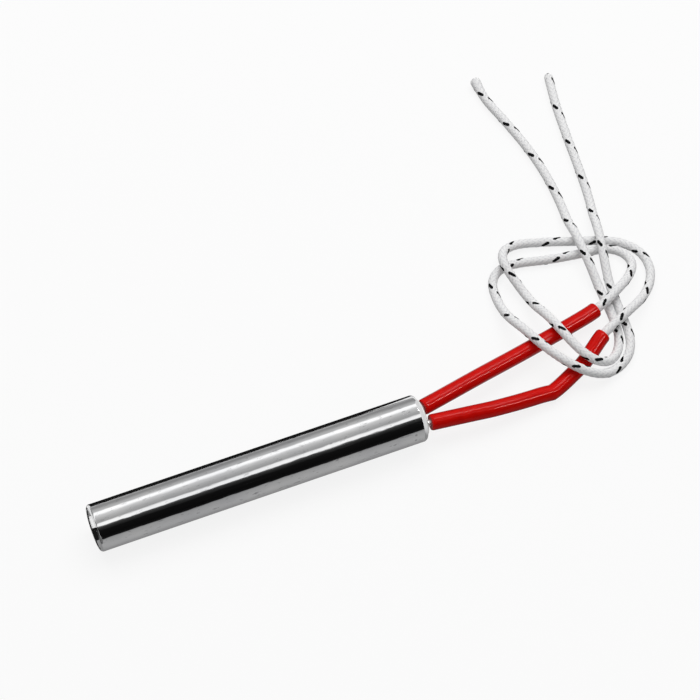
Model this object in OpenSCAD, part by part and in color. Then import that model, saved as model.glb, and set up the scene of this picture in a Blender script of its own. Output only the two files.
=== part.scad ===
// Cartridge heater: a polished sheath with a welded closed end, a wound magnesia core inside,
// and two sleeved, braided leads that are tied in one loose knot.
// The sheath's axis is X, with the leads at +X and +Z up. The origin is the middle of the sheath.

/* [Sheath] */
// Outside diameter of the sheath
sheath_d = 14; // [13.5:0.5:25]
// Length of the sheath, from closed end to mouth
sheath_len = 100; // [60:5:250]
// Wall of the sheath tube
sheath_wall = 1; // [0.6:0.1:1.2]
// Rounding of the rim at the closed end
closed_edge_r = 0.9; // [0.3:0.1:1.2]
// Rounding of the rolled rim at the mouth
mouth_edge_r = 1.3; // [0.6:0.1:1.5]
// Flat of the rolled rim, inside its rounding
mouth_flat = 0.1; // [0:0.1:0.4]

/* [Closed end] */
// Thickness of the welded end disc
disc_t = 2.4; // [1:0.2:5]
// Thickness of the insulating spacer behind the disc
spacer_t = 2; // [1:0.5:4]

/* [Element] */
// Thickness of the packed magnesia between the winding and the sheath
fill_t = 0.85; // [0.5:0.05:1]
// Diameter of the resistance wire
wire_d = 0.5; // [0.3:0.05:0.6]
// Pitch that the winding aims at
wire_pitch = 3; // [2:0.5:6]
// Distance from each end of the core to the first turn
winding_margin = 4; // [2:0.5:8]

/* [Terminals] */
// Diameter of the two terminal pins
pin_d = 2; // [1.6:0.1:2.2]
// Distance between the pins
pin_spacing = 5.2; // [5:0.1:5.8]
// Length of pin outside the mouth
pin_out = 12; // [8:1:16]
// Distance from the long pin's tip to the closed end of the core
long_pin_stop = 2; // [1:0.5:3]
// Depth of the short pin in the core
short_pin_depth = 14; // [8:1:20]
// Length of the crimp barrel
crimp_len = 8; // [5:1:11]
// Wall of the crimp barrel
crimp_wall = 0.35; // [0.25:0.05:0.4]

/* [Mouth] */
// Length of the ceramic plug behind the rolled rim
plug_len = 11; // [5:1:20]
// Height that the white seal stands out of the mouth
seal_proud = 0.6; // [0.2:0.1:1.2]

/* [Leads] */
// Outside diameter of the braided leads
lead_d = 2.8; // [2:0.1:2.9]
// Diameter of the bare conductor in the crimp
conductor_d = 1.5; // [1:0.1:1.8]
// Wall of the red sleeves
sleeve_wall = 0.8; // [0.5:0.05:0.85]
// Length of the red sleeves
sleeve_len = 64; // [40:1:80]
// Bare pin between the seal and the sleeves
sleeve_gap = 1.3; // [0.5:0.1:4]

/* [Fits] */
// Gap round a piece that slides into another
fit = 0.05; // [0.02:0.01:0.1]
// Gap between the crimp and the sleeve
sleeve_clearance = 0.15; // [0.1:0.05:0.25]

/* [Hidden] */
$fn = 64;

// Sheath
sheath_r = sheath_d / 2;
bore_r = sheath_r - sheath_wall;
closed_x = -sheath_len / 2;
mouth_x = sheath_len / 2;
lip_t = sheath_wall;
lip_r = sheath_r - mouth_edge_r - mouth_flat;
lip_x = mouth_x - lip_t;

// Pieces stacked along the bore
stack_r = bore_r - fit;
core_x = closed_x + disc_t + spacer_t;
plug_x = lip_x - plug_len;
core_stack = plug_x - core_x;
core_count = 3;
core_len = core_stack / core_count;

// Winding between the core and the fill
fill_in_r = stack_r - fill_t;
wire_r = wire_d / 2;
winding_r = fill_in_r - fit - wire_r;
winding_x = core_x + winding_margin;
winding_len = core_stack - 2 * winding_margin;
winding_turns = floor(winding_len / wire_pitch) + 0.5;
steps_per_turn = 14;
wire_sides = 6;
core_r = winding_r * cos(180 / steps_per_turn) - wire_r - fit;
wire_slot_w = wire_d + 2 * fit;
wire_slot_depth = winding_margin + wire_r + fit;

// Terminals, with the long pin on the left
pin_r = pin_d / 2;
pin_y = pin_spacing / 2;
pin_hole_r = pin_r + fit;
bend_x = mouth_x + seal_proud;
crimp_r = pin_hole_r + crimp_wall;
crimp_s = pin_out - crimp_len / 2;
lead_s = crimp_s + crimp_len;
conductor_gap = 0.5;
conductor_grip = 1;

// Sleeves and leads
lead_r = lead_d / 2;
lead_sides = 8;
sleeve_sides = 12;
sleeve_bore_r = (max(crimp_r, lead_r) + sleeve_clearance) / cos(180 / sleeve_sides);
sleeve_r = sleeve_bore_r + sleeve_wall;
ring_gap = 1.5;
overrun = 1;

// Routes of the leads: distance from the mouth, offset from the axis, height over the table
left_route = [
    [22, 7.6, 5.8], [36, 10.8, 4.8], [47, 13.4, 4.2], [56, 15.4, 4.1], [63, 17, 4.4],
    [68.6, 19.2, 4.7], [74, 22.2, 4.5], [79, 26, 3.2], [82.2, 31, 1.8], [80.8, 36, 1.4],
    [76.6, 38.8, 1.4], [71, 39.6, 1.4], [64, 40.6, 1.4], [57, 42, 1.4], [50.4, 43.6, 1.4],
    [44.6, 43.6, 1.4], [40.6, 40.4, 1.4], [39.2, 35, 1.5], [38.8, 29, 2.6], [39, 23, 5.2],
    [40, 17, 7.9], [41.8, 11, 8.7], [44.6, 5, 8.4], [48.4, 0, 7.2], [53, -3, 4.9],
    [58, -3.6, 2.4], [63, -2.2, 1.4], [67.4, 1, 1.4], [70, 6, 1.4], [71, 12, 1.4],
    [71.6, 18, 1.4], [72.4, 25, 1.5], [73.8, 32, 3.2], [75.4, 38.4, 4.6], [77, 44.6, 4.4],
    [78.6, 51, 2.4], [80.4, 58, 1.4], [82, 67, 1.4], [84, 81, 1.4], [86.2, 95, 1.4],
    [89, 107.6, 1.4]
];
right_route = [
    [22, -4.1, 5], [42, -3, 2.4], [48.6, -0.6, 2.4], [55.4, 3.8, 2.9], [62, 8.2, 4.4],
    [68, 11, 4.7], [73.6, 13.8, 4.2], [79, 17.2, 2.6], [83.6, 21.6, 1.5], [86.4, 27, 1.4],
    [86.4, 33, 1.4], [83.2, 38.2, 1.4], [78, 41.6, 1.4], [72, 43.8, 1.4], [58.8, 48.6, 1.4],
    [52.6, 50, 1.7], [47.6, 48.2, 3.2], [45.4, 43.4, 4.6], [46.2, 37.6, 3.4], [47.4, 31.6, 2.4],
    [48, 25.6, 4], [48.6, 19.6, 7.1], [49.6, 13.6, 8.4], [51, 7.8, 8.2], [53, 2.8, 7.3],
    [56.2, -0.4, 5.5], [60.6, -0.2, 2.9], [64.4, 2.8, 1.6], [67, 7.4, 1.4], [68.2, 13, 1.4],
    [68.8, 20, 1.4], [69.2, 27, 1.7], [69.4, 33.4, 3.6], [69.6, 39.6, 4.7], [70, 45.4, 4.3],
    [70.6, 52, 2.2], [71.6, 60, 1.4], [72, 70, 1.4], [71.2, 82, 1.4], [69, 95, 1.4],
    [66.8, 106, 1.4], [66.6, 114, 1.9]
];
left_path = lead_path(left_route, pin_y);
right_path = lead_path(right_route, -pin_y);

// Route in the part's own frame, from the bend of the pin to the free end
function lead_path(route, y) =
    concat([[bend_x, y, 0]], [for (p = route) [mouth_x + p.x, p.y, p.z - sheath_r]]);

function unit(v) = v / norm(v);

// Length along a path up to its point i
function run_to(path, i) = i == 0 ? 0 : run_to(path, i - 1) + norm(path[i] - path[i - 1]);

function run_of(path) = run_to(path, len(path) - 1);

// Point at length s along a path
function point_at(path, s) =
    let (k = max([for (i = [0 : len(path) - 2]) if (run_to(path, i) <= s) i]))
    path[k] + unit(path[k + 1] - path[k]) * (s - run_to(path, k));

// Stretch of a path between two lengths, leaving out points that crowd its ends
function stretch(path, from, to) =
    concat([point_at(path, from)],
           [for (i = [0 : len(path) - 1])
               let (s = run_to(path, i))
               if (s > from + ring_gap && s < to - ring_gap) path[i]],
           [point_at(path, to)]);

// Direction of a path at its point i, halfway between the stretches that meet there
function heading(path, i) =
    let (before = i > 0 ? unit(path[i] - path[i - 1]) : [0, 0, 0],
         after = i < len(path) - 1 ? unit(path[i + 1] - path[i]) : [0, 0, 0])
    unit(before + after);

function ring(p, along, side_on, r, sides) =
    let (u = unit(cross(side_on, along)), v = cross(along, u))
    [for (k = [0 : sides - 1]) p + r * (cos(360 * k / sides) * u + sin(360 * k / sides) * v)];

function rings(path, side_on, r, sides) =
    [for (i = [0 : len(path) - 1]) each ring(path[i], heading(path, i), side_on, r, sides)];

// Skin between rings, numbered from a first point and wound outwards or inwards
function skin(first, count, sides, outwards) =
    [for (i = [0 : count - 2], k = [0 : sides - 1])
        let (a = first + i * sides + k,
             b = first + i * sides + (k + 1) % sides,
             c = a + sides,
             d = b + sides)
        each (outwards ? [[a, c, b], [b, c, d]] : [[a, b, c], [b, d, c]])];

// Flat end between an outer and an inner ring
function end_ring(outer, inner, sides, facing) =
    [for (k = [0 : sides - 1])
        let (a = outer + k, b = outer + (k + 1) % sides, c = inner + k, d = inner + (k + 1) % sides)
        each (facing ? [[a, b, c], [b, d, c]] : [[a, c, b], [b, c, d]])];

// Solid cord of one radius along a path
module cord(path, r, sides, side_on) {
    count = len(path);
    last = (count - 1) * sides;
    start_face = [for (k = [0 : sides - 1]) k];
    end_face = [for (k = [sides - 1 : -1 : 0]) last + k];
    polyhedron(points = rings(path, side_on, r, sides),
               faces = concat(skin(0, count, sides, true), [start_face, end_face]),
               convexity = 10);
}

// Open hose along a path
module hose(path, r_out, r_in, sides, side_on) {
    count = len(path);
    inner = count * sides;
    last = (count - 1) * sides;
    polyhedron(points = concat(rings(path, side_on, r_out, sides), rings(path, side_on, r_in, sides)),
               faces = concat(skin(0, count, sides, true),
                              skin(inner, count, sides, false),
                              end_ring(0, inner, sides, true),
                              end_ring(last, inner + last, sides, false)),
               convexity = 10);
}

// Children that stand on +Z, turned along the sheath's axis from a station x
module along_axis(x) {
    translate([x, 0, 0])
        rotate([0, 90, 0])
            children();
}

// Children that stand on +Z, turned to a direction from a point
module aimed(p, direction) {
    translate(p)
        rotate([0, acos(direction.z), atan2(direction.y, direction.x)])
            children();
}

// Straight bores for the two pins through a piece that starts at x
module pin_holes(x, depth) {
    for (side = [-1, 1])
        translate([0, side * pin_y, 0])
            along_axis(x - overrun)
                cylinder(h = depth + 2 * overrun, r = pin_hole_r);
}

// What a rounding takes off an outer corner of a turned profile
module corner_waste(r) {
    difference() {
        square(r + overrun);
        circle(r);
    }
}

module sheath_tube() {
    edge_r = min(closed_edge_r, sheath_wall);
    color([0.78, 0.79, 0.8])
        along_axis(closed_x)
            rotate_extrude()
                difference() {
                    square([sheath_r, sheath_len]);
                    translate([-overrun, -overrun])
                        square([bore_r + overrun, sheath_len - lip_t + overrun]);
                    translate([-overrun, 0])
                        square([lip_r + overrun, sheath_len + overrun]);
                    translate([sheath_r - edge_r, edge_r])
                        mirror([0, 1])
                            corner_waste(edge_r);
                    translate([sheath_r - mouth_edge_r, sheath_len - mouth_edge_r])
                        corner_waste(mouth_edge_r);
                }
}

module end_disc() {
    color([0.7, 0.71, 0.72])
        along_axis(closed_x)
            cylinder(h = disc_t, r = stack_r);
}

module bottom_spacer() {
    color([0.9, 0.87, 0.78])
        along_axis(closed_x + disc_t)
            cylinder(h = spacer_t, r = stack_r);
}

// Slot in a core's end that leads the wire to its pin
module wire_slot(x, side) {
    translate([x, side > 0 ? pin_y : -core_r - overrun, -wire_slot_w / 2])
        cube([wire_slot_depth + overrun, core_r + overrun - pin_y, wire_slot_w]);
}

module core_segment(index) {
    x = core_x + index * core_len;
    color([0.93, 0.92, 0.88])
        difference() {
            along_axis(x)
                cylinder(h = core_len, r = core_r);
            pin_holes(x, core_len);
            if (index == 0)
                wire_slot(x - overrun, 1);
            if (index == core_count - 1)
                wire_slot(x + core_len - wire_slot_depth, -1);
        }
}

module core_segment_1() {
    core_segment(0);
}

module core_segment_2() {
    core_segment(1);
}

module core_segment_3() {
    core_segment(2);
}

module resistance_winding() {
    steps = floor(winding_turns * steps_per_turn);
    pin_side = pin_y + pin_r + fit;
    end_x = winding_x + winding_len;
    helix = [for (i = [1 : steps - 1])
        let (turn = 360 * winding_turns * i / steps)
        [winding_x + winding_len * i / steps, winding_r * cos(turn), winding_r * sin(turn)]];
    color([0.55, 0.5, 0.46])
        cord(concat([[winding_x, pin_side, 0], [winding_x, winding_r, 0]],
                    helix,
                    [[end_x, -winding_r, 0], [end_x, -pin_side, 0]]),
             wire_r, wire_sides, [1, 0, 0]);
}

module magnesia_fill() {
    color([0.96, 0.95, 0.93])
        along_axis(core_x)
            difference() {
                cylinder(h = core_stack, r = stack_r);
                translate([0, 0, -overrun])
                    cylinder(h = core_stack + 2 * overrun, r = fill_in_r);
            }
}

// Waste beyond the mitre of a pin's bend, on the side that faces a direction
module mitre_waste(facing) {
    aimed([0, 0, 0], facing)
        translate([-pin_d, -pin_d, 0])
            cube([2 * pin_d, 2 * pin_d, pin_d + overrun]);
}

// Pin from a station inside the core to its end in the crimp, bent where it leaves the seal
module terminal_pin(inner_x, path) {
    straight = [1, 0, 0];
    direction = unit(path[1] - path[0]);
    mitre = unit(straight + direction);
    color([0.66, 0.66, 0.64])
        translate(path[0]) {
            difference() {
                along_axis(inner_x - bend_x)
                    cylinder(h = bend_x - inner_x + overrun, r = pin_r);
                mitre_waste(mitre);
            }
            difference() {
                rotate(a = acos(direction * straight), v = cross(straight, direction))
                    along_axis(-overrun)
                        cylinder(h = pin_out + overrun, r = pin_r);
                mitre_waste(-mitre);
            }
        }
}

module long_pin() {
    terminal_pin(core_x + long_pin_stop, left_path);
}

module short_pin() {
    terminal_pin(plug_x - short_pin_depth, right_path);
}

module mouth_plug() {
    color([0.92, 0.9, 0.84])
        difference() {
            along_axis(plug_x)
                cylinder(h = plug_len, r = stack_r);
            pin_holes(plug_x, plug_len);
        }
}

module mouth_seal() {
    seal_r = lip_r - fit;
    color([0.95, 0.95, 0.93])
        difference() {
            along_axis(lip_x)
                rotate_extrude()
                    difference() {
                        square([seal_r, lip_t + seal_proud]);
                        translate([seal_r - seal_proud, lip_t])
                            corner_waste(seal_proud);
                    }
            pin_holes(lip_x, lip_t + seal_proud);
        }
}

// Barrel that joins a pin to the bare end of its lead
module crimp(path) {
    direction = unit(path[1] - path[0]);
    color([0.75, 0.74, 0.7])
        aimed(point_at(path, crimp_s), direction)
            difference() {
                cylinder(h = crimp_len, r = crimp_r);
                translate([0, 0, -overrun])
                    cylinder(h = crimp_len + 2 * overrun, r = pin_hole_r);
            }
}

module left_crimp() {
    crimp(left_path);
}

module right_crimp() {
    crimp(right_path);
}

module sleeve(path) {
    color([0.8, 0.08, 0.06])
        hose(stretch(path, sleeve_gap, sleeve_gap + sleeve_len),
             sleeve_r, sleeve_bore_r, sleeve_sides, [0, 0, 1]);
}

module left_sleeve() {
    sleeve(left_path);
}

module right_sleeve() {
    sleeve(right_path);
}

// Braided lead with its bare conductor in the crimp
module lead(path) {
    direction = unit(path[1] - path[0]);
    bare_s = pin_out + conductor_gap;
    color([0.92, 0.92, 0.9]) {
        cord(stretch(path, lead_s, run_of(path)), lead_r, lead_sides, [0, 0, 1]);
        aimed(point_at(path, bare_s), direction)
            cylinder(h = lead_s - bare_s + conductor_grip, r = conductor_d / 2);
    }
}

module left_lead() {
    lead(left_path);
}

module right_lead() {
    lead(right_path);
}

sheath_tube();
end_disc();
bottom_spacer();
core_segment_1();
core_segment_2();
core_segment_3();
resistance_winding();
magnesia_fill();
long_pin();
short_pin();
mouth_plug();
mouth_seal();
left_crimp();
right_crimp();
left_sleeve();
right_sleeve();
left_lead();
right_lead();
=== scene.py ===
import bpy
import math
import numpy as np
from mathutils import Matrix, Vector


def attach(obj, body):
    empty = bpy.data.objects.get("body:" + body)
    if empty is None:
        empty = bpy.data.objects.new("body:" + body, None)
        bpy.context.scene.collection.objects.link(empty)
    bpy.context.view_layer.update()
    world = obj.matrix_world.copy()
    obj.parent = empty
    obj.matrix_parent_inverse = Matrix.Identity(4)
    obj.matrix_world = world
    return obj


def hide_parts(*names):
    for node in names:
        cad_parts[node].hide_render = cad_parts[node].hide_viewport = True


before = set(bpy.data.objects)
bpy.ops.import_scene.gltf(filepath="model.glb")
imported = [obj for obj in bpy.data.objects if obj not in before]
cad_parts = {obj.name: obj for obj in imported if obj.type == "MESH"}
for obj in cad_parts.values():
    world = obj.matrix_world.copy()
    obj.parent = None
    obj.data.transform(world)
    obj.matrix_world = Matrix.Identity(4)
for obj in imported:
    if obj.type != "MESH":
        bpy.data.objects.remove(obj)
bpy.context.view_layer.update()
mm = 0.001
rng = np.random.default_rng(7)
print("frame loaded,", len(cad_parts), "nodes")


# small helpers for objects and edit mode

def deselectAll():
    if bpy.context.mode != "OBJECT":
        bpy.ops.object.mode_set(mode="OBJECT")
    bpy.ops.object.select_all(action="DESELECT")


def pick(piece, kind, test):  # leaves edit mode on, with only what passes the test selected
    bpy.ops.object.mode_set(mode="EDIT")
    bpy.ops.mesh.select_mode(type=kind)
    bpy.ops.mesh.select_all(action="DESELECT")
    bpy.ops.object.mode_set(mode="OBJECT")
    mesh = piece.data
    if kind == "VERT":
        for vert in mesh.vertices:
            vert.select = test(vert.co)
    if kind == "EDGE":
        for edge in mesh.edges:
            ends = [mesh.vertices[i].co for i in edge.vertices]
            edge.select = all(test(end) for end in ends)
    if kind == "FACE":
        for face in mesh.polygons:
            face.select = test(face.center)
    bpy.ops.object.mode_set(mode="EDIT")


def applyPlace():
    bpy.ops.object.mode_set(mode="OBJECT")
    bpy.ops.object.transform_apply(location=True, rotation=True, scale=True)


def finishPiece(piece, material, slotName, *nodes):
    piece.data.materials.append(material)
    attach(piece, "root")
    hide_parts(*nodes)


def smoothByAngle(piece, degrees):
    deselectAll()
    piece.select_set(True)
    bpy.context.view_layer.objects.active = piece
    bpy.ops.object.shade_smooth_by_angle(angle=math.radians(degrees))


# small helpers for materials

def newMaterial(name):
    material = bpy.data.materials.new(name)
    material.use_nodes = True
    tree = material.node_tree
    return material, tree.nodes, tree.links, tree.nodes["Principled BSDF"]


def feed(links, socket, value):  # a plain value, or the output of another node
    if isinstance(value, bpy.types.NodeSocket):
        links.new(value, socket)
    else:
        socket.default_value = value


def setSockets(links, node, **values):
    for name, value in values.items():
        feed(links, node.inputs[name.replace("_", " ")], value)


def addNode(nodes, links, kind, **values):
    node = nodes.new("ShaderNode" + kind)
    setSockets(links, node, **values)
    return node


def addMath(nodes, links, kind, operation, *values):
    node = nodes.new("ShaderNode" + kind)
    node.operation = operation
    for socket, value in zip(node.inputs, values):
        feed(links, socket, value)
    return node


def placeGroup(nodes, links, group, **values):
    node = nodes.new("ShaderNodeGroup")
    node.node_tree = group
    setSockets(links, node, **values)
    return node


def mixColours(nodes, links, factor, first, second):  # first may be another node's output
    mix = nodes.new("ShaderNodeMix")
    mix.data_type = "RGBA"
    if isinstance(first, tuple):
        first = (*first, 1)
    setSockets(links, mix, Factor=factor, A=first, B=(*second, 1))
    return mix.outputs["Result"]


def bumpNormal(nodes, links, height, bump, **values):
    strength, distance = bump
    node = addNode(nodes, links, "Bump", Height=height, Strength=strength, Distance=distance, **values)
    return node.outputs["Normal"]


# camera, set to the photograph's viewing angle

cameraSet = {
    "azimuth": -22.214,
    "elevation": 55.0,
    "distance": 947.77 * mm,
    "target": (42.03 * mm, 34.17 * mm, -7 * mm),
    "lens": 165,
    "sensor": 36,
    "clipStart": 10 * mm,
}


def makeCamera(s):
    turn, lift = math.radians(s["azimuth"]), math.radians(s["elevation"])
    back = Vector((math.sin(turn) * math.cos(lift), -math.cos(turn) * math.cos(lift), math.sin(lift)))
    data = bpy.data.cameras.new("photoCamera")
    data.lens = s["lens"]
    data.sensor_width = s["sensor"]
    data.clip_start = s["clipStart"]
    cameraObj = bpy.data.objects.new("photoCamera", data)
    bpy.context.scene.collection.objects.link(cameraObj)
    cameraObj.location = Vector(s["target"]) + s["distance"] * back
    cameraObj.rotation_euler = back.to_track_quat("Z", "Y").to_euler()
    bpy.context.scene.camera = cameraObj


makeCamera(cameraSet)
print("camera placed")


# shared effects

def newGroup(name, inputs, outputs):
    group = bpy.data.node_groups.new(name, "ShaderNodeTree")
    for label, value in inputs.items():
        socket = group.interface.new_socket(label, in_out="INPUT", socket_type="NodeSocketFloat")
        socket.default_value = value
    for label in outputs:
        group.interface.new_socket(label, in_out="OUTPUT", socket_type="NodeSocketFloat")
    given, out = group.nodes.new("NodeGroupInput"), group.nodes.new("NodeGroupOutput")
    return group, group.nodes, group.links, given.outputs, out


def buildFineMottle():  # soft blotches between two values
    group, nodes, links, given, out = newGroup(
        "fineMottle", {"Scale": 400, "Low": 0, "High": 1}, ["Value"])
    coords = nodes.new("ShaderNodeTexCoord")
    noise = addNode(nodes, links, "TexNoise", Vector=coords.outputs["Object"], Scale=given["Scale"],
                    Detail=4.0, Roughness=0.6)
    spread = addNode(nodes, links, "MapRange", Value=noise.outputs["Fac"], From_Min=0.3, From_Max=0.7,
                     To_Min=given["Low"], To_Max=given["High"])
    setSockets(links, out, Value=spread.outputs["Result"])
    return group


def buildHairLines():  # fine lines drawn out along X
    group, nodes, links, given, out = newGroup(
        "hairLines", {"Along": 20, "Across": 1500, "Threshold": 0.6}, ["Mask", "Height"])
    coords = nodes.new("ShaderNodeTexCoord")
    stretch = addNode(nodes, links, "CombineXYZ", X=given["Along"], Y=given["Across"], Z=given["Across"])
    scaled = addMath(nodes, links, "VectorMath", "MULTIPLY",
                     coords.outputs["Object"], stretch.outputs["Vector"])
    noise = addNode(nodes, links, "TexNoise", Vector=scaled.outputs["Vector"], Scale=1.0,
                    Detail=3.0, Roughness=0.55)
    cut = addNode(nodes, links, "MapRange", Value=noise.outputs["Fac"], From_Min=given["Threshold"],
                  From_Max=0.85)
    setSockets(links, out, Mask=cut.outputs["Result"], Height=noise.outputs["Fac"])
    return group


fineMottle = buildFineMottle()
hairLines = buildHairLines()


# finishes; a bump is its strength and its height

steelSet = {
    "clean": [(0.68, 0.685, 0.7), (0.8, 0.8, 0.8)],
    "worn": (0.32, 0.32, 0.33),
    "toneScale": 60.0,
    "lines": {"Along": 25.0, "Across": 1800.0, "Threshold": 0.6},
    "ripple": {"Along": 70.0, "Across": 260.0, "Threshold": 0.6},
    "specks": {"Along": 450.0, "Across": 1200.0, "Threshold": 0.6},
    "roughness": (0.06, 0.2),
    "lineBump": (0.03, 0.02 * mm),
    "rippleBump": (1.0, 0.07 * mm),
    "dents": [(45.9, -6.62, 2.25), (45.7, -6.98, 0.3)],
    "dentSize": 0.25 * mm,
    "dentWear": 0.5,
}


def addDent(nodes, links, wear, place, s):  # a small dull dent at one spot
    coords = nodes.new("ShaderNodeTexCoord")
    gap = addMath(nodes, links, "VectorMath", "DISTANCE", coords.outputs["Object"], Vector(place) * mm)
    fade = addNode(nodes, links, "MapRange", Value=gap.outputs["Value"], From_Min=s["dentSize"],
                   From_Max=s["dentSize"] * 2, To_Min=s["dentWear"], To_Max=0.0)
    return addMath(nodes, links, "Math", "MAXIMUM", wear, fade.outputs["Result"]).outputs[0]


def polishedSteel(s):
    material, nodes, links, bsdf = newMaterial("polishedSteel")
    tone = placeGroup(nodes, links, fineMottle, Scale=s["toneScale"], Low=0.0, High=1.0)
    lines = placeGroup(nodes, links, hairLines, **s["lines"])
    ripple = placeGroup(nodes, links, hairLines, **s["ripple"])
    wear = placeGroup(nodes, links, hairLines, **s["specks"]).outputs["Mask"]
    for place in s["dents"]:
        wear = addDent(nodes, links, wear, place, s)
    clean = mixColours(nodes, links, tone.outputs["Value"], *s["clean"])
    dull = addNode(nodes, links, "MapRange", Value=lines.outputs["Mask"], To_Min=s["roughness"][0],
                   To_Max=s["roughness"][1])
    wavy = bumpNormal(nodes, links, ripple.outputs["Height"], s["rippleBump"])
    fine = bumpNormal(nodes, links, lines.outputs["Height"], s["lineBump"], Normal=wavy)
    setSockets(links, bsdf, Metallic=1.0, Base_Color=mixColours(nodes, links, wear, clean, s["worn"]),
               Roughness=dull.outputs["Result"], Normal=fine)
    return material


plainSet = {"roughSpread": 0.08, "bumpHeight": 0.1 * mm}


def plainFinish(name, dark, light, scale, rough, bump, metallic=0.0):
    material, nodes, links, bsdf = newMaterial(name)
    spread = plainSet["roughSpread"]
    tone = placeGroup(nodes, links, fineMottle, Scale=scale, Low=0.0, High=1.0).outputs["Value"]
    dull = placeGroup(nodes, links, fineMottle, Scale=scale * 2, Low=rough - spread, High=rough + spread)
    setSockets(links, bsdf, Metallic=metallic, Base_Color=mixColours(nodes, links, tone, dark, light),
               Roughness=dull.outputs["Value"],
               Normal=bumpNormal(nodes, links, tone, (bump, plainSet["bumpHeight"])))
    return material


sleeveSkinSet = {
    "red": [(0.55, 0.003, 0.0015), (0.64, 0.005, 0.0025)],
    # the darker red is painted shade for the sleeve's edges
    "edgeShadeRed": (0.22, 0.0008, 0.0006),
    "toneScale": 500.0,
    "edgeShadeFrom": 0.35,
    "edgeShadeTo": 0.95,
    "shine": 0.09,
    "roughness": {"Scale": 900.0, "Low": 0.06, "High": 0.14},
    "weaveTurn": math.radians(45),
    "weaveScale": 10.0,
    "weaveBump": (0.03, 0.05 * mm),
}


def redSleeveSkin(s):  # glossy coat over a faint braid, with painted shade: the red darkens towards the edges, where the surface turns away from the view
    material, nodes, links, bsdf = newMaterial("redSleeveSkin")
    tone = placeGroup(nodes, links, fineMottle, Scale=s["toneScale"], Low=0.0, High=1.0)
    red = mixColours(nodes, links, tone.outputs["Value"], *s["red"])
    # painted shade: darker red where the surface turns away from the view
    glance = addNode(nodes, links, "LayerWeight", Blend=0.5)
    edgeShadeMask = addNode(nodes, links, "MapRange", Value=glance.outputs["Facing"], From_Min=s["edgeShadeFrom"],
                   From_Max=s["edgeShadeTo"])
    dull = placeGroup(nodes, links, fineMottle, **s["roughness"])
    uv = nodes.new("ShaderNodeUVMap")
    turn = addNode(nodes, links, "Mapping", Vector=uv.outputs["UV"], Rotation=(0, 0, s["weaveTurn"]))
    weave = addNode(nodes, links, "TexChecker", Vector=turn.outputs["Vector"], Scale=s["weaveScale"])
    setSockets(links, bsdf, Specular_IOR_Level=s["shine"], Roughness=dull.outputs["Value"],
               Base_Color=mixColours(nodes, links, edgeShadeMask.outputs["Result"], red, s["edgeShadeRed"]),
               Normal=bumpNormal(nodes, links, weave.outputs["Fac"], s["weaveBump"]))
    return material


yarnSet = {
    # the third colour of each yarn is painted shade for its edges
    "glassYarn": {"dark": (0.76, 0.76, 0.76), "light": (0.87, 0.87, 0.865),
                  "valleyShade": (0.66, 0.66, 0.68), "shine": 0.4},
    "tracerYarn": {"dark": (0.003, 0.003, 0.0035), "light": (0.01, 0.01, 0.011),
                   "valleyShade": (0.003, 0.003, 0.003), "shine": 0.04},
    "roughness": 0.75,
    "fibres": (1.5, 9, 1),
    "crown": 0.25,
    "valleyShadeFrom": 0.09,
    "valleyShadeTo": 0.22,
    "fibreBump": (0.2, 0.04 * mm),
}


def yarnFinish(name, s):  # painted shade: darker towards each yarn's edges, where it dips under its neighbours
    material, nodes, links, bsdf = newMaterial(name)
    colours = s[name]
    uv = nodes.new("ShaderNodeUVMap").outputs["UV"]
    stretch = addNode(nodes, links, "Mapping", Vector=uv, Scale=s["fibres"])
    noise = addNode(nodes, links, "TexNoise", Vector=stretch.outputs["Vector"], Scale=1.0, Detail=3.0)
    # painted shade mask: light on a yarn's crown, dark towards its edges
    split = addNode(nodes, links, "SeparateXYZ", Vector=uv)
    fromCrown = addMath(nodes, links, "Math", "SUBTRACT", split.outputs["Y"], s["crown"])
    away = addMath(nodes, links, "Math", "ABSOLUTE", fromCrown.outputs[0])
    valleyShadeMask = addNode(nodes, links, "MapRange", Value=away.outputs[0], From_Min=s["valleyShadeFrom"],
                  From_Max=s["valleyShadeTo"])
    crest = mixColours(nodes, links, noise.outputs["Fac"], colours["dark"], colours["light"])
    setSockets(links, bsdf, Roughness=s["roughness"], Specular_IOR_Level=colours["shine"],
               Base_Color=mixColours(nodes, links, valleyShadeMask.outputs["Result"], crest, colours["valleyShade"]),
               Normal=bumpNormal(nodes, links, noise.outputs["Fac"], s["fibreBump"]))
    return material


steel = polishedSteel(steelSet)
sleeveRed = redSleeveSkin(sleeveSkinSet)
glassYarn = yarnFinish("glassYarn", yarnSet)
tracerYarn = yarnFinish("tracerYarn", yarnSet)
print("finishes made")


# routes of the leads in millimetres: distance from the mouth, offset from the axis, height

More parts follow.
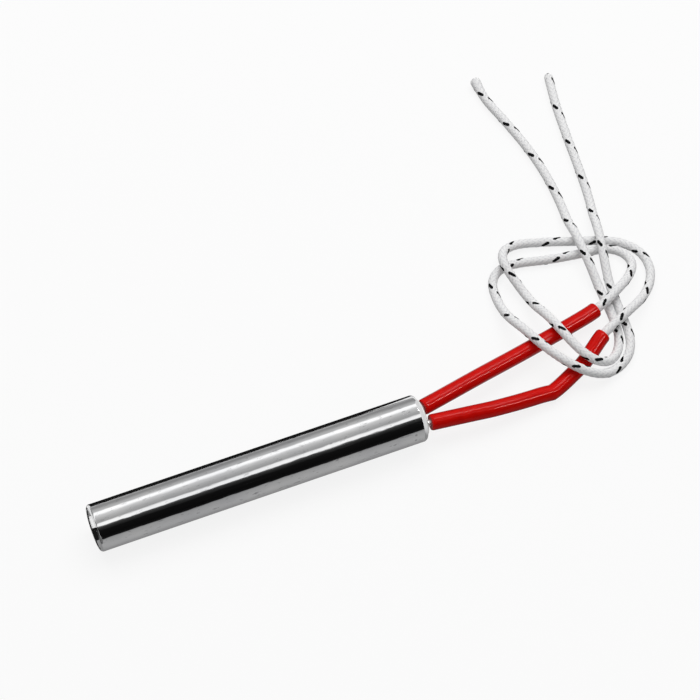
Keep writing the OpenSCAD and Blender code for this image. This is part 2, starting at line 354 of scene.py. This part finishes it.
leadSet = {
    "mouth": 50 * mm,
    "seal": 0.6 * mm,
    "pinOffset": 2.6 * mm,
    "pinOut": 12 * mm,
    "start": 16 * mm,
    "diameter": 2.8 * mm,
    "axisHeight": 7 * mm,
    "lineStep": 0.2 * mm,
    "easeOver": 4 * mm,
    "yarns": 8,
    "pitch": 14.2 * mm,
    "yarnHalfWidth": 0.55 * mm,
    "yarnHalfHeight": 0.07 * mm,
    "wave": 0.04 * mm,
    "steepness": 1.8,
    "wander": 0.012 * mm,
    "wanderEvery": 40,
    "tracerWave": 0.08 * mm,
    "tracerHalfWidth": 0.47 * mm,
    "tracerOver": 0.6,
    "stepsPerCrossing": 3,
    "coreSides": 10,
    "coreEvery": 4,
    "coreGap": 0.02 * mm,
    "coreTexture": 8,
    "smoothAngle": 40,
}
leftRoute = [
    (22, 7.6, 5.8), (36, 10.8, 4.8), (47, 13.4, 4.2), (56, 15.4, 4.1), (63, 17, 4.4),
    (68.6, 19.2, 4.7), (74, 22.2, 4.5), (79, 26, 3.2), (82.2, 31, 1.8), (80.8, 36, 1.4),
    (76.6, 38.8, 1.4), (71, 39.6, 1.4), (64, 40.6, 1.4), (57, 42, 1.4), (50.4, 43.6, 1.4),
    (44.6, 43.6, 1.4), (40.6, 40.4, 1.4), (39.2, 35, 1.5), (38.8, 29, 2.6), (39, 23, 5.2),
    (40, 17, 7.9), (41.8, 11, 8.7), (44.6, 5, 8.4), (48.4, 0, 7.2), (53, -3, 4.9),
    (58, -3.6, 2.4), (63, -2.2, 1.4), (67.4, 1, 1.4), (70, 6, 1.4), (71, 12, 1.4),
    (71.6, 18, 1.4), (72.4, 25, 1.5), (73.8, 32, 3.2), (75.4, 38.4, 4.6), (77, 44.6, 4.4),
    (78.6, 51, 2.4), (80.4, 58, 1.4), (82, 67, 1.4), (84, 81, 1.4), (86.2, 95, 1.4),
    (89, 107.6, 1.4),
]
rightRoute = [
    (22, -4.1, 5), (42, -3, 2.4), (48.6, -0.6, 2.4), (55.4, 3.8, 2.9), (62, 8.2, 4.4),
    (68, 11, 4.7), (73.6, 13.8, 4.2), (79, 17.2, 2.6), (83.6, 21.6, 1.5), (86.4, 27, 1.4),
    (86.4, 33, 1.4), (83.2, 38.2, 1.4), (78, 41.6, 1.4), (72, 43.8, 1.4), (58.8, 48.6, 1.4),
    (52.6, 50, 1.7), (47.6, 48.2, 3.2), (45.4, 43.4, 4.6), (46.2, 37.6, 3.4), (47.4, 31.6, 2.4),
    (48, 25.6, 4), (48.6, 19.6, 7.1), (49.6, 13.6, 8.4), (51, 7.8, 8.2), (53, 2.8, 7.3),
    (56.2, -0.4, 5.5), (60.6, -0.2, 2.9), (64.4, 2.8, 1.6), (67, 7.4, 1.4), (68.2, 13, 1.4),
    (68.8, 20, 1.4), (69.2, 27, 1.7), (69.4, 33.4, 3.6), (69.6, 39.6, 4.7), (70, 45.4, 4.3),
    (70.6, 52, 2.2), (71.6, 60, 1.4), (72, 70, 1.4), (71.2, 82, 1.4), (69, 95, 1.4),
    (66.8, 106, 1.4), (66.6, 114, 1.9),
]


def alongLine(line):  # length run so far at each point
    return np.concatenate([[0], np.cumsum(np.linalg.norm(np.diff(line, axis=0), axis=1))])


def evenLine(line, step):
    run = alongLine(line)
    stations = np.linspace(0, run[-1], int(run[-1] / step) + 1)
    return np.stack([np.interp(stations, run, line[:, i]) for i in range(3)], axis=1)


def smoothLine(points, step, between=60):  # smooth curve through the points, at even steps
    ends = np.vstack([2 * points[0] - points[1], points, 2 * points[-1] - points[-2]])
    stretches = []
    for p0, p1, p2, p3 in zip(ends, ends[1:], ends[2:], ends[3:]):
        t1 = np.linalg.norm(p1 - p0) ** 0.5
        t2 = t1 + np.linalg.norm(p2 - p1) ** 0.5
        t3 = t2 + np.linalg.norm(p3 - p2) ** 0.5
        t = np.linspace(t1, t2, between, endpoint=False)[:, None]
        a1 = ((t1 - t) * p0 + t * p1) / t1
        a2 = ((t2 - t) * p1 + (t - t1) * p2) / (t2 - t1)
        a3 = ((t3 - t) * p2 + (t - t2) * p3) / (t3 - t2)
        b1 = ((t2 - t) * a1 + t * a2) / t2
        b2 = ((t3 - t) * a2 + (t - t1) * a3) / (t3 - t1)
        stretches.append(((t2 - t) * b1 + (t - t1) * b2) / (t2 - t1))
    return evenLine(np.vstack(stretches + [points[-1:]]), step)


def easeBends(line, over, step):  # evens out the curve over a short window
    reach = int(over / step)
    window = np.hanning(2 * reach + 1)
    window /= window.sum()
    ends = np.vstack([2 * line[0] - line[reach:0:-1], line, 2 * line[-1] - line[-2:-reach - 2:-1]])
    eased = np.stack([np.convolve(ends[:, i], window, "valid") for i in range(3)], axis=1)
    return evenLine(eased, step)


def leadLine(route, side, s):  # from the bend of the pin to the free end
    bend = np.array([s["mouth"] + s["seal"], side * s["pinOffset"], 0])
    points = np.array(route) * mm + np.array([s["mouth"], 0, -s["axisHeight"]])
    ahead = (points[0] - bend) / np.linalg.norm(points[0] - bend)
    points = np.vstack([bend, bend + s["pinOut"] * ahead, bend + s["start"] * ahead, points])
    line = easeBends(smoothLine(points, s["lineStep"]), s["easeOver"], s["lineStep"])
    line[:, 2] = np.maximum(line[:, 2], s["diameter"] / 2 - s["axisHeight"])
    return line


def unitRows(rows):
    return rows / np.linalg.norm(rows, axis=1)[:, None]


def turnFrames(line):  # two directions across the line that turn with it and never twist
    ahead = unitRows(np.gradient(line, axis=0))
    across = np.zeros_like(ahead)
    first = np.cross(ahead[0], (0, 0, 1))
    across[0] = first / np.linalg.norm(first)
    for i in range(1, len(line)):
        turned = across[i - 1] - ahead[i] * np.dot(across[i - 1], ahead[i])
        across[i] = turned / np.linalg.norm(turned)
    return across, np.cross(ahead, across)


def spokes(across, up, sides):  # directions around the line at each of its points
    turn = np.linspace(0, 2 * np.pi, sides, endpoint=False)[None, :, None]
    return np.cos(turn) * across[:, None] + np.sin(turn) * up[:, None]


def meshFromRings(name, parts):  # each part: rings, texture along and around, material, capped ends
    points, faces, texture, slots = [], [], [], []
    first = 0
    for rings, along, around, index, capped in parts:
        rows, sides = rings.shape[:2]
        last = first + (rows - 1) * sides
        points.append(rings.reshape(-1, 3))
        row, side = np.meshgrid(np.arange(rows - 1), np.arange(sides), indexing="ij")
        a = first + row * sides + side
        b = first + row * sides + (side + 1) % sides
        quads = np.stack([a, b, b + sides, a + sides], axis=-1).reshape(-1, 4)
        faces += quads.tolist()
        u0, u1 = along[row], along[row + 1]
        v0, v1 = side / sides * around, (side + 1) / sides * around
        texture.append(np.stack([u0, v0, u0, v1, u1, v1, u1, v0], axis=-1).reshape(-1, 2))
        slots += [index] * len(quads)
        if capped:
            faces.append([first + i for i in reversed(range(sides))])
            faces.append([last + i for i in range(sides)])
            texture.append(np.zeros((2 * sides, 2)))
            slots += [index] * 2
        first += rows * sides
    mesh = bpy.data.meshes.new(name)
    mesh.from_pydata(np.vstack(points), [], faces)
    layer = mesh.uv_layers.new(name="UVMap")
    layer.data.foreach_set("uv", np.vstack(texture).astype(np.float32).ravel())
    mesh.polygons.foreach_set("material_index", np.array(slots, np.int32))
    mesh.polygons.foreach_set("use_smooth", np.ones(len(faces), bool))
    mesh.validate()
    mesh.update()
    piece = bpy.data.objects.new(name, mesh)
    bpy.context.scene.collection.objects.link(piece)
    return piece


def braidedLead(name, line, swell, shift, start, s):  # yarns in two directions, over two and under two
    across, up = turnFrames(line)
    run = alongLine(line)
    laid = run + shift
    middle = s["diameter"] / 2 - s["yarnHalfHeight"] - s["wave"]
    crossing = 2 * s["yarns"] * laid / s["pitch"]
    lean = math.cos(math.atan(2 * math.pi * middle / s["pitch"]))
    sag = (s["yarnHalfWidth"] * lean) ** 2 / 2 / middle  # the yarn hugs the round core
    keep = np.arange(0, len(line), s["coreEvery"])
    if keep[-1] != len(line) - 1:
        keep = np.append(keep, len(line) - 1)
    coreRadius = ((middle - s["coreGap"]) * swell[keep])[:, None, None]
    core = line[keep][:, None] + coreRadius * spokes(across[keep], up[keep], s["coreSides"])
    parts = [(core, run[keep] / mm, s["coreTexture"], 0, True)]
    knots = run[::s["wanderEvery"]]
    for way in (1, -1):
        for number in range(s["yarns"]):
            isTracer = way < 0 and number == 0
            half = s["tracerHalfWidth"] if isTracer else s["yarnHalfWidth"]
            wave = s["tracerWave"] if isTracer else s["wave"]
            bias = s["tracerOver"] if isTracer else 0
            turn = start + 2 * np.pi * (way * laid / s["pitch"] + number / s["yarns"])
            place = 2 * number + way * crossing
            over = way * np.cos(2 * np.pi * (place - 0.5) / 4) + bias
            lift = np.tanh(s["steepness"] * over) / math.tanh(s["steepness"])
            wander = np.interp(run, knots, rng.normal(0, s["wander"], len(knots)))
            out = np.cos(turn)[:, None] * across + np.sin(turn)[:, None] * up
            centre = line + ((middle + wave * lift + wander) * swell)[:, None] * out
            sideways = unitRows(np.cross(unitRows(np.gradient(centre, axis=0)), out))
            wide = way * (half * swell)[:, None] * sideways
            high = s["yarnHalfHeight"] * out
            low = sag * out
            rings = [centre + wide - low, centre + high, centre - wide - low, centre - high - low]
            parts.append((np.stack(rings, axis=1), run / mm, 1, int(isTracer), True))
    piece = meshFromRings(name, parts)
    piece.data.materials.append(glassYarn)
    piece.data.materials.append(tracerYarn)
    smoothByAngle(piece, s["smoothAngle"])
    return piece


tipSet = {"cut": 0.985, "flare": 0.3, "flareLength": 6 * mm, "flareCurve": 1.3}


def roundTip(run, s):
    short = np.clip(1 - (run[-1] - run) / leadSet["diameter"] * 2, 0, s["cut"])
    return np.sqrt(1 - short ** 2)


def flaredTip(run, s):  # the braid opens over its last stretch, then closes at the cut
    near = np.clip(1 - (run[-1] - run) / s["flareLength"], 0, 1)
    return (1 + s["flare"] * near ** s["flareCurve"]) * roundTip(run, s)


sleeveSet = {
    "from": 1.3 * mm,
    "length": 64 * mm,
    "radius": 2.4 * mm,
    "bore": 1.6 * mm,
    "grip": 1.02 * mm,
    "gripLength": 5 * mm,
    "gripTaper": 1 * mm,
    "sides": 48,
    "every": 2,
    "edge": 0.18 * mm,
    "kinkDepth": 0.45 * mm,
    "kinkReach": 5 * mm,
    "kinkSink": 0.5 * mm,
    "kinkTail": 16 * mm,
    "textureLength": 15 * mm,
    "smoothAngle": 40,
}


def kinkShift(line, run, kink, s):  # the skin stands out at the kink and sinks in behind it
    before, turn, after = np.searchsorted(run, (kink - s["kinkReach"], kink, kink + s["kinkTail"]))
    chord = line[after] - line[before]
    outward = np.cross(np.cross(chord, line[turn] - line[before]), chord)
    outward /= np.linalg.norm(outward)
    near = np.clip(1 - abs(run - kink) / s["kinkReach"], 0, 1)
    behind = np.sin(np.clip((run - kink) / s["kinkTail"], 0, 1) * np.pi)
    return (s["kinkDepth"] * near ** 2 - s["kinkSink"] * behind ** 2)[:, None] * outward


def sleeveTube(name, line, kink, s):  # outer skin, rounded cut edges and bore as one closed shell
    run = alongLine(line)
    inside = (run >= s["from"]) & (run <= s["from"] + s["length"])
    line, across, up, run = [rows[inside][::s["every"]] for rows in (line, *turnFrames(line), run)]
    around = spokes(across, up, s["sides"])
    left = np.minimum(run - run[0], run[-1] - run)
    rounding = np.sqrt(np.clip(1 - (1 - np.clip(left / s["edge"], 0, 1)) ** 2, 0, 1))
    radius = s["radius"] - s["edge"] * (1 - rounding)
    outer = line[:, None] + radius[:, None, None] * around
    if kink:
        outer += kinkShift(line, run, kink, s)[:, None]
    widen = np.clip((run - run[0] - s["gripLength"]) / s["gripTaper"], 0, 1)
    bore = s["grip"] + (s["bore"] - s["grip"]) * widen
    inner = line[:, None] + bore[:, None, None] * around
    rings = np.concatenate([outer, inner[::-1], outer[:1]])
    along = np.concatenate([run, run[::-1], run[:1]]) / s["textureLength"]
    piece = meshFromRings(name, [(rings[:, ::-1], along, 1.0, 0, False)])
    smoothByAngle(piece, s["smoothAngle"])
    return piece


# shift and turn place the tracer along the lead and around it
bothLeads = {
    "left": {"route": leftRoute, "side": 1, "tip": roundTip, "kink": None,
             "shift": 6 * mm, "turn": math.radians(-33)},
    "right": {"route": rightRoute, "side": -1, "tip": flaredTip, "kink": 39.8 * mm,
              "shift": 1.2 * mm, "turn": math.radians(-41)},
}
for name, given in bothLeads.items():
    whole = leadLine(given["route"], given["side"], leadSet)
    sleeve = sleeveTube(name + "SleeveTube", whole, given["kink"], sleeveSet)
    finishPiece(sleeve, sleeveRed, "sleeve_red", name + "_sleeve")
    step = leadSet["pitch"] / 2 / leadSet["yarns"] / leadSet["stepsPerCrossing"]
    line = evenLine(whole[alongLine(whole) >= leadSet["start"]], step)
    run = alongLine(line)
    lead = braidedLead(name + "LeadBraid", line, given["tip"](run, tipSet), given["shift"],
                       given["turn"], leadSet)
    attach(lead, "root")
    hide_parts(name + "_lead")


# sheath, turned from one section of its wall

sheathSet = {
    "radius": 7 * mm,
    "bore": 6 * mm,
    "lipBore": 5.6 * mm,
    "half": 50 * mm,
    "lip": 1 * mm,
    "mouthEdge": 1.3 * mm,
    "mouthSegments": 12,
    "closedEdge": 0.9 * mm,
    "closedSegments": 10,
    "hold": 0.5 * mm,
    "steps": 192,
    "near": 0.001 * mm,
    "merge": 0.002 * mm,
    "smoothAngle": 35,
}


def makeSheath(s):
    near = s["near"]
    lipX = s["half"] - s["lip"] - s["mouthEdge"]
    deselectAll()
    bpy.ops.mesh.primitive_plane_add(size=1)
    piece = bpy.context.object
    piece.name = piece.data.name = "sheathShell"
    piece.rotation_euler = (math.pi / 2, 0, 0)
    piece.scale = (s["half"] - lipX, s["radius"] - s["lipBore"], 1)
    piece.location = ((s["half"] + lipX) / 2, 0, (s["radius"] + s["lipBore"]) / 2)
    applyPlace()
    pick(piece, "VERT", lambda co: co.x > s["half"] - near and co.z > s["radius"] - near)
    bpy.ops.mesh.bevel(offset=s["mouthEdge"], segments=s["mouthSegments"], affect="VERTICES")
    bpy.ops.mesh.select_all(action="SELECT")
    bpy.ops.mesh.bisect(plane_co=(0, 0, s["bore"]), plane_no=(0, 0, 1))
    for stop in (lipX - s["hold"], s["closedEdge"] + s["hold"] - s["half"], -s["half"]):
        pick(piece, "EDGE", lambda co: co.x < min(v.co.x for v in piece.data.vertices) + near
             and co.z > s["bore"] - near)
        start = min(v.co.x for v in piece.data.vertices)
        bpy.ops.mesh.extrude_region_move(TRANSFORM_OT_translate={"value": (stop - start, 0, 0)})
    pick(piece, "VERT", lambda co: co.x < near - s["half"] and co.z > s["radius"] - near)
    bpy.ops.mesh.bevel(offset=s["closedEdge"], segments=s["closedSegments"], affect="VERTICES")
    bpy.ops.mesh.select_mode(type="FACE")
    bpy.ops.mesh.select_all(action="SELECT")
    bpy.ops.mesh.dissolve_faces()
    bpy.ops.mesh.select_all(action="SELECT")
    bpy.ops.mesh.delete(type="ONLY_FACE")
    bpy.ops.mesh.select_mode(type="VERT")
    bpy.ops.mesh.select_all(action="SELECT")
    bpy.ops.mesh.spin(steps=s["steps"], angle=2 * math.pi, center=(0, 0, 0), axis=(1, 0, 0))
    bpy.ops.mesh.select_all(action="SELECT")
    bpy.ops.mesh.remove_doubles(threshold=s["merge"])
    bpy.ops.mesh.normals_make_consistent(inside=False)
    bpy.ops.object.mode_set(mode="OBJECT")
    smoothByAngle(piece, s["smoothAngle"])
    return piece


sheath = makeSheath(sheathSet)
finishPiece(sheath, steel, "sheath_steel", "sheath_tube")
print("sheath", len(sheath.data.polygons), "faces")


# welded end disc

discSet = {
    "radius": 5.95 * mm,
    "thick": 2.4 * mm,
    "edge": 0.25 * mm,
    "sides": 160,
    "near": 0.01 * mm,
    "smoothAngle": 35,
}


def makeDisc(s):
    deselectAll()
    near = s["near"]
    lowX = -sheathSet["half"]
    bpy.ops.mesh.primitive_cylinder_add(vertices=s["sides"], radius=s["radius"], depth=s["thick"])
    piece = bpy.context.object
    piece.name = piece.data.name = "endDiscWelded"
    piece.rotation_euler = (0, math.pi / 2, 0)
    piece.location = (lowX + s["thick"] / 2, 0, 0)
    applyPlace()
    pick(piece, "FACE", lambda co: co.x < lowX + near)
    bpy.ops.mesh.inset(thickness=s["edge"])
    bpy.ops.mesh.inset(thickness=s["radius"] / 2)
    pick(piece, "EDGE", lambda co: co.x < lowX + near and math.hypot(co.y, co.z) > s["radius"] - near)
    bpy.ops.transform.translate(value=(s["edge"], 0, 0))
    bpy.ops.object.mode_set(mode="OBJECT")
    smoothByAngle(piece, s["smoothAngle"])
    return piece


disc = makeDisc(discSet)
finishPiece(disc, steel, "sheath_steel", "end_disc")
print("end disc", len(disc.data.polygons), "faces")


# finishes of the pieces inside and at the mouth

ceramic = plainFinish("spacerCeramic", (0.72, 0.66, 0.52), (0.85, 0.8, 0.68),
                      scale=900.0, rough=0.7, bump=0.2)
magnesia = plainFinish("coreMagnesia", (0.8, 0.78, 0.72), (0.9, 0.89, 0.84),
                       scale=1200.0, rough=0.85, bump=0.3)
powder = plainFinish("packedMagnesia", (0.85, 0.84, 0.8), (0.93, 0.92, 0.89),
                     scale=3000.0, rough=0.9, bump=0.4)
wire = plainFinish("resistanceWire", (0.24, 0.2, 0.16), (0.36, 0.31, 0.27),
                   scale=800.0, rough=0.35, bump=0.1, metallic=1.0)
nickel = plainFinish("drawnNickel", (0.66, 0.66, 0.65), (0.8, 0.8, 0.79),
                     scale=700.0, rough=0.45, bump=0.1, metallic=1.0)
plated = plainFinish("platedCrimp", (0.62, 0.6, 0.55), (0.74, 0.72, 0.67),
                     scale=900.0, rough=0.3, bump=0.1, metallic=1.0)
plug = plainFinish("plugCeramic", (0.78, 0.75, 0.66), (0.88, 0.85, 0.78),
                   scale=1000.0, rough=0.65, bump=0.2)
cement = plainFinish("sealCement", (0.74, 0.74, 0.72), (0.88, 0.88, 0.86),
                     scale=1500.0, rough=0.8, bump=0.5)
nodeFinishes = {
    "bottom_spacer": ceramic,
    "core_segment_1": magnesia,
    "core_segment_2": magnesia,
    "core_segment_3": magnesia,
    "resistance_winding": wire,
    "magnesia_fill": powder,
    "long_pin": nickel,
    "short_pin": nickel,
    "mouth_plug": plug,
    "mouth_seal": cement,
    "left_crimp": plated,
    "right_crimp": plated,
    "sheath_tube": steel,
    "end_disc": steel,
    "left_sleeve": sleeveRed,
    "right_sleeve": sleeveRed,
    "left_lead": glassYarn,
    "right_lead": glassYarn,
}
for name, material in nodeFinishes.items():
    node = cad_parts[name]
    node.data.materials.clear()
    node.data.materials.append(material)
print("inner pieces dressed")


# floor, studio and light

studioSet = {
    "floorHeight": -7 * mm,
    "floorSize": 6.0,
    "floorColour": 0.12,
    "floorGlow": 0.85,
    "floorBounce": 0.3,
    "sky": 0.4,
    "white": 0.97,
    "keyPower": 11.0,
    "keySize": (1.4, 0.9),
    "keyPlace": (0.3, 0.5, 1.0),
    "keyAim": (0.04, 0.03, 0),
    "tentRadius": 0.6,
    "tentLength": 3.0,
    "tentSteps": 181,
    "tentEndGlow": 0.03,
    "cardHalf": 0.3,
    "cardBack": 0.3 * mm,
    "cardLift": 0.02 * mm,
    "shadeCardLift": 0.03 * mm,
    "rimCardX": 50.25 * mm,
    "rimCardRadius": 12 * mm,
    "rimCardSpan": (-25, 125),
    "rimCardSteps": 30,
    "stripRadius": 0.582,
}
# brightness that polished metal sees overhead, by degrees from straight up towards the front
tentStops = [
    (-90, 0.01), (-88, 0.01), (-86.5, 0.5), (-84, 0.55), (-81, 0.34), (-72, 0.3), (-63, 0.37),
    (-54, 0.52), (-46, 0.58), (-38, 1.35), (-29, 1.3), (-20, 0.75), (-4, 0.52), (12, 0.4),
    (19, 1.15), (29, 1.2), (33, 0.08), (40, 0.03), (47, 0.017), (51, 0.006), (78, 0.004),
    (86, 0.005), (90, 0.008),
]
# brightness of the glowing card on the table, seen only in reflections: a painted reflection of the
# floor, with painted shade near the sheath; by place across the axis in millimetres, the front below
# zero
floorReflectionStops = [
    (-600, 0.01), (-220, 0.02), (-105, 0.31), (-27, 0.41), (-16, 0.445), (-11, 0.43), (-7, 0.3),
    (-0.5, 0.3),
]
# brightness of the card before the mouth, by height over the axis in millimetres
rimStops = [(-7, 0.28), (-1, 0.3), (3, 0.8), (12, 0.92)]
# dark and grey cards on the table, seen only in reflections, which paint shade and dark reflections into
# the steel: brightness, then corners in millimetres
shadeCardShapes = [
    (0.01, [(-51, 9), (58, 9), (58, 110), (190, 595), (-30, 595), (-51, 110)]),
    (0.01, [(-49.9, -4), (-49.9, 13.5), (-53, 13.5), (-51.9, 10.9), (-51.45, 9.8), (-51.05, 7.6),
            (-50.8, 4.5), (-50.5, 0.2), (-50.5, -2.9), (-51, -4)]),
    (0.3, [(-51.25, 8.6), (-51.45, 9.8), (-51.9, 10.9), (-53, 13.5), (-55, 13.5), (-55, 8.6)]),
    (0.01, [(-58, 0.2), (-50.4, 0.2), (-50.4, 4.5), (-58, 4.5)]),
    (0.01, [(-400, -6), (-58, -6), (-58, 4.5), (-400, 4.5)]),
    (0.16, [(-400, -80), (-58, -80), (-58, -6), (-400, -6)]),
    (0.01, [(-600, -2500), (600, -2500), (600, -600), (-600, -600)]),
]
# bright strips that the sleeves see: degrees towards the front, half width in degrees,
# start and end in metres, strength
stripLights = [(34, 3, 0.3, 0.56, 40.0), (-10, 9, 0.22, 0.42, 8.0)]


def glowLevel(nodes, links, hidden, seen):  # one level for lighting, another where it is seen
    path = nodes.new("ShaderNodeLightPath")
    total = path.outputs["Is Camera Ray"]
    for label in ("Is Glossy Ray", "Is Transmission Ray"):
        add = addMath(nodes, links, "Math", "ADD", total, path.outputs[label])
        add.use_clamp = True
        total = add.outputs[0]
    return addNode(nodes, links, "MapRange", Value=total, To_Min=hidden, To_Max=seen).outputs["Result"]


def makeFloor(s):
    deselectAll()
    bpy.ops.mesh.primitive_plane_add(size=s["floorSize"], location=(0, 0, s["floorHeight"]))
    floor = bpy.context.object
    floor.name = "paleFloor"
    material, nodes, links, bsdf = newMaterial("paleFloor")
    setSockets(links, bsdf, Roughness=1.0, Specular_IOR_Level=0.0,
               Base_Color=(s["floorColour"],) * 3 + (1,), Emission_Color=(1, 1, 1, 1),
               Emission_Strength=glowLevel(nodes, links, s["floorBounce"], s["floorGlow"]))
    floor.data.materials.append(material)


def makeWorld(s):
    world = bpy.data.worlds.new("softStudio")
    bpy.context.scene.world = world
    world.use_nodes = True
    nodes, links = world.node_tree.nodes, world.node_tree.links
    setSockets(links, nodes["Background"], Color=(1, 1, 1, 1),
               Strength=glowLevel(nodes, links, s["sky"], s["white"]))


def makeKeyLight(s):
    data = bpy.data.lights.new("keyPanel", "AREA")
    data.shape = "RECTANGLE"
    data.size, data.size_y = s["keySize"]
    data.energy = s["keyPower"]
    lamp = bpy.data.objects.new("keyPanel", data)
    bpy.context.scene.collection.objects.link(lamp)
    lamp.location = s["keyPlace"]
    lamp.rotation_euler = (lamp.location - Vector(s["keyAim"])).to_track_quat("Z", "Y").to_euler()
    lamp.visible_glossy = False


def rampGlow(nodes, links, place, unit, stops):  # brightness from stop to stop
    low, high = stops[0][0], stops[-1][0]
    share = addNode(nodes, links, "MapRange", Value=place, From_Min=low * unit, From_Max=high * unit)
    ramp = addNode(nodes, links, "ValToRGB", Fac=share.outputs["Result"])
    elements = ramp.color_ramp.elements
    elements.remove(elements[1])
    for i, (at, value) in enumerate(stops):
        position = (at - low) / (high - low)
        stop = elements[0] if i == 0 else elements.new(position)
        stop.position = position
        stop.color = (value, value, value, 1)
    glow = addNode(nodes, links, "Emission", Color=ramp.outputs["Color"])
    setSockets(links, nodes["Material Output"], Surface=glow.outputs[0])


def bandedGlow(name, axis, stops):  # brightness by place along one axis
    material, nodes, links, bsdf = newMaterial(name)
    nodes.remove(bsdf)
    coords = nodes.new("ShaderNodeTexCoord")
    split = addNode(nodes, links, "SeparateXYZ", Vector=coords.outputs["Object"])
    rampGlow(nodes, links, split.outputs[axis], mm, stops)
    return material


def archedGlow(name, stops):  # brightness by the angle around the axis
    material, nodes, links, bsdf = newMaterial(name)
    nodes.remove(bsdf)
    coords = nodes.new("ShaderNodeTexCoord")
    split = addNode(nodes, links, "SeparateXYZ", Vector=coords.outputs["Object"])
    front = addMath(nodes, links, "Math", "MULTIPLY", split.outputs["Y"], -1)
    angle = addMath(nodes, links, "Math", "ARCTAN2", front.outputs[0], split.outputs["Z"])
    rampGlow(nodes, links, angle.outputs[0], math.radians(1), stops)
    return material


def plainGlow(name, strength):
    material, nodes, links, bsdf = newMaterial(name)
    nodes.remove(bsdf)
    glow = addNode(nodes, links, "Emission", Strength=strength)
    setSockets(links, nodes["Material Output"], Surface=glow.outputs[0])
    return material


def glossyMesh(name, points, faces, *materials):  # seen by glossy rays alone
    mesh = bpy.data.meshes.new(name)
    mesh.from_pydata(points, [], faces)
    for material in materials:
        mesh.materials.append(material)
    card = bpy.data.objects.new(name, mesh)
    bpy.context.scene.collection.objects.link(card)
    card.visible_camera = False
    card.visible_diffuse = False
    card.visible_transmission = False
    card.visible_shadow = False
    return mesh


def flatCard(name, corners, material):
    glossyMesh(name, corners, [tuple(range(len(corners)))], material)


def arcPoint(x, angle, radius):  # angle from straight up towards the front
    return x, -math.sin(angle) * radius, math.cos(angle) * radius


def makeTent(s):  # half a drum over the part, dark at its two ends
    angles = np.radians(np.linspace(-90, 90, s["tentSteps"]))
    ends = (-s["tentLength"] / 2, s["tentLength"] / 2)
    points = [arcPoint(x, angle, s["tentRadius"]) for x in ends for angle in angles]
    count = len(angles)
    faces = [(i, i + 1, i + 1 + count, i + count) for i in range(count - 1)]
    faces += [tuple(range(count)), tuple(range(count, 2 * count))]
    mesh = glossyMesh("studioTent", points, faces, archedGlow("studioTent", tentStops),
                      plainGlow("darkFlag", s["tentEndGlow"]))
    for face in mesh.polygons[-2:]:
        face.material_index = 1


def makeFloorReflectionCard(s):  # glows in front of the sheath and shows only in reflections: a painted reflection of the floor, darker near the sheath as painted shade
    low = s["floorHeight"] + s["cardLift"]
    back, front, ends = s["cardBack"], -s["tentRadius"], s["cardHalf"]
    corners = [(-ends, front, low), (ends, front, low), (ends, back, low), (-ends, back, low)]
    # painted reflection: this glowing card only shows in the steel
    flatCard("floorReflectionCard", corners, bandedGlow("floorReflectionCard", "Y", floorReflectionStops))


def makeShadeCards(s):
    low = s["floorHeight"] + s["shadeCardLift"]
    # painted shade: these cards block no light and only darken what the steel reflects
    for number, (strength, corners) in enumerate(shadeCardShapes):
        name = "paintedShadeCard" + str(number)
        flatCard(name, [(x * mm, y * mm, low) for x, y in corners], plainGlow(name, strength))


def makeRimCard(s):  # paints the reflection on the rolled rim at the mouth: white above the axis, darker grey below
    x = s["rimCardX"]
    angles = np.radians(np.linspace(*s["rimCardSpan"], s["rimCardSteps"]))
    corners = [(x, 0, 0)] + [arcPoint(x, angle, s["rimCardRadius"]) for angle in angles]
    flatCard("rimCard", corners, bandedGlow("rimCard", "Z", rimStops))


def makeStrips(s):
    for number, (degrees, half, start, end, strength) in enumerate(stripLights):
        name = "sleeveStrip" + str(number)
        low, high = math.radians(degrees - half), math.radians(degrees + half)
        places = [(start, low), (end, low), (end, high), (start, high)]
        flatCard(name, [arcPoint(x, angle, s["stripRadius"]) for x, angle in places],
                 plainGlow(name, strength))


makeFloor(studioSet)
makeWorld(studioSet)
makeKeyLight(studioSet)
makeTent(studioSet)
makeFloorReflectionCard(studioSet)
makeShadeCards(studioSet)
makeRimCard(studioSet)
makeStrips(studioSet)
bpy.context.scene.view_settings.view_transform = "Standard"
print("studio lit")
